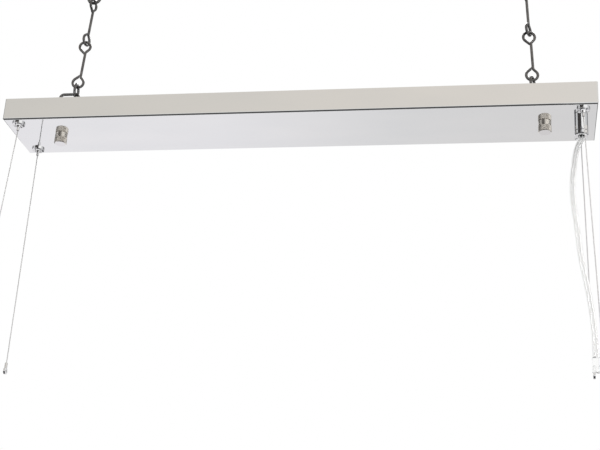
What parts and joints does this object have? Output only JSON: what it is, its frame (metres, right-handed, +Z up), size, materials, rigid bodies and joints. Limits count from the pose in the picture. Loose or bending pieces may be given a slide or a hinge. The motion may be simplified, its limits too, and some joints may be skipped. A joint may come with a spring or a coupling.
{
  "type": "chandelier canopy",
  "caption": "Long rectangular ceiling canopy for a chandelier, hung level on two wire chains, with steel suspension cables and a clear cord below.",
  "frame": {"origin": "midway between the two ceiling plates, on the ceiling plane where their upper faces meet it", "axes": "+X along the canopy towards the cord's end, +Y towards the side away from the picture's camera, +Z up"},
  "size_m": [0.6, 0.0909, 0.462],
  "materials": {
    "polished_steel": "mirror polished, faint brushing along the pan",
    "gunmetal_wire": "dark plated wire, satin",
    "nickel": "satin nickel with a warm tint",
    "bright_chrome": "bright plated",
    "zinc": "dull zinc plate",
    "brass": "turned",
    "rubber": "matt",
    "steel_cable": "stranded wire rope",
    "clear_pvc": "clear, with bright conductors inside",
    "white_plastic": "moulded"
  },
  "bodies": {
    "ceiling": {"ceiling_plate_left": "bright_chrome", "ceiling_plate_right": "bright_chrome", "ceiling_hook_left": "gunmetal_wire", "ceiling_hook_right": "gunmetal_wire", "hook_lock_nuts": "zinc"},
    "left_upper_chain": {"upper_link_left": "gunmetal_wire"},
    "left_lower_chain": {"lower_link_left": "gunmetal_wire", "ring_left": "gunmetal_wire"},
    "right_upper_chain": {"upper_link_right": "gunmetal_wire"},
    "right_lower_chain": {"lower_link_right": "gunmetal_wire", "ring_right": "gunmetal_wire"},
    "canopy": {"hanger_left": "gunmetal_wire", "hanger_right": "gunmetal_wire", "hanger_nuts": "zinc", "mounting_bar": "zinc", "pan_screws": "zinc", "pan_nuts": "zinc", "canopy_pan": "polished_steel", "earth_screw": "brass", "earth_washer": "zinc", "gripper_barrels": "bright_chrome", "gripper_flanges": "bright_chrome", "gripper_spring_front_left": "zinc", "gripper_spring_front_right": "zinc", "gripper_spring_rear_left": "zinc", "gripper_spring_rear_right": "zinc", "cord_grip_body": "bright_chrome", "cord_grip_bush": "rubber", "cord_grip_lock_nut": "zinc", "terminal_block": "white_plastic", "terminal_inserts": "brass", "terminal_screws": "zinc", "lead_core_1": "clear_pvc", "lead_core_2": "clear_pvc", "cable_front_left": "steel_cable", "cable_front_right": "steel_cable", "cable_rear_left": "steel_cable", "cable_rear_right": "steel_cable", "cable_end_front_left": "bright_chrome", "cable_end_front_right": "bright_chrome", "cable_end_rear_left": "bright_chrome", "cable_end_rear_right": "bright_chrome", "clear_cord": "clear_pvc", "cord_connector": "clear_pvc"},
    "left_cap_nut": {"cap_nut_left": "nickel"},
    "right_cap_nut": {"cap_nut_right": "nickel"},
    "cord_clamp_nut": {"cord_grip_nut": "bright_chrome"},
    "front_left_release": {"gripper_plunger_front_left": "bright_chrome"},
    "front_right_release": {"gripper_plunger_front_right": "bright_chrome"},
    "rear_left_release": {"gripper_plunger_rear_left": "bright_chrome"},
    "rear_right_release": {"gripper_plunger_rear_right": "bright_chrome"}
  },
  "joints": [
    {"name": "chain_swing_left", "type": "hinge", "parent": "ceiling", "child": "left_upper_chain", "pos_m": [-0.2335, 0, -0.0454], "axis": [0.9999, 0, -0.0165], "range_deg": [-15, 15]},
    {"name": "chain_swing_right", "type": "hinge", "parent": "ceiling", "child": "right_upper_chain", "pos_m": [0.2335, 0, -0.0531], "axis": [0.9999, 0, -0.0165], "range_deg": [-15, 15]},
    {"name": "chain_sway_left", "type": "hinge", "parent": "left_upper_chain", "child": "left_lower_chain", "pos_m": [-0.23642, 0, -0.09786], "axis": [0, 1, 0], "range_deg": [-15, 15]},
    {"name": "chain_sway_right", "type": "hinge", "parent": "right_upper_chain", "child": "right_lower_chain", "pos_m": [0.23642, 0, -0.10556], "axis": [0, 1, 0], "range_deg": [-15.3, 15.3]},
    {"name": "canopy_level", "type": "hinge", "parent": "left_lower_chain", "child": "canopy", "pos_m": [-0.24, 0, -0.1621], "axis": [0, 1, 0], "range_deg": [-15, 15]},
    {"name": "cap_nut_turn_left", "type": "hinge", "parent": "canopy", "child": "left_cap_nut", "pos_m": [-0.2494, 0, -0.213], "axis": [0, 0, 1], "continuous": true},
    {"name": "cap_nut_turn_right", "type": "hinge", "parent": "canopy", "child": "right_cap_nut", "pos_m": [0.2506, 0, -0.213], "axis": [0, 0, 1], "continuous": true},
    {"name": "cord_clamp_turn", "type": "hinge", "parent": "canopy", "child": "cord_clamp_nut", "pos_m": [0.2856, 0, -0.219], "axis": [0, 0, 1], "continuous": true},
    {"name": "release_front_left", "type": "slide", "parent": "canopy", "child": "front_left_release", "axis": [0, 0, 1], "range_m": [0, 0.002], "stiffness_N_per_m": 300, "springref_m": -0.002, "deforming": ["gripper_spring_front_left"]},
    {"name": "release_front_right", "type": "slide", "parent": "canopy", "child": "front_right_release", "axis": [0, 0, 1], "range_m": [0, 0.002], "stiffness_N_per_m": 300, "springref_m": -0.002, "deforming": ["gripper_spring_front_right"]},
    {"name": "release_rear_left", "type": "slide", "parent": "canopy", "child": "rear_left_release", "axis": [0, 0, 1], "range_m": [0, 0.002], "stiffness_N_per_m": 300, "springref_m": -0.002, "deforming": ["gripper_spring_rear_left"]},
    {"name": "release_rear_right", "type": "slide", "parent": "canopy", "child": "rear_right_release", "axis": [0, 0, 1], "range_m": [0, 0.002], "stiffness_N_per_m": 300, "springref_m": -0.002, "deforming": ["gripper_spring_rear_right"]}
  ],
  "couplings": [
    {"joint": "chain_swing_right", "follows": "chain_swing_left", "ratio": 1},
    {"joint": "chain_sway_right", "follows": "chain_sway_left", "ratio": 1.002},
    {"joint": "canopy_level", "follows": "chain_sway_left", "ratio": -0.9849}
  ]
}
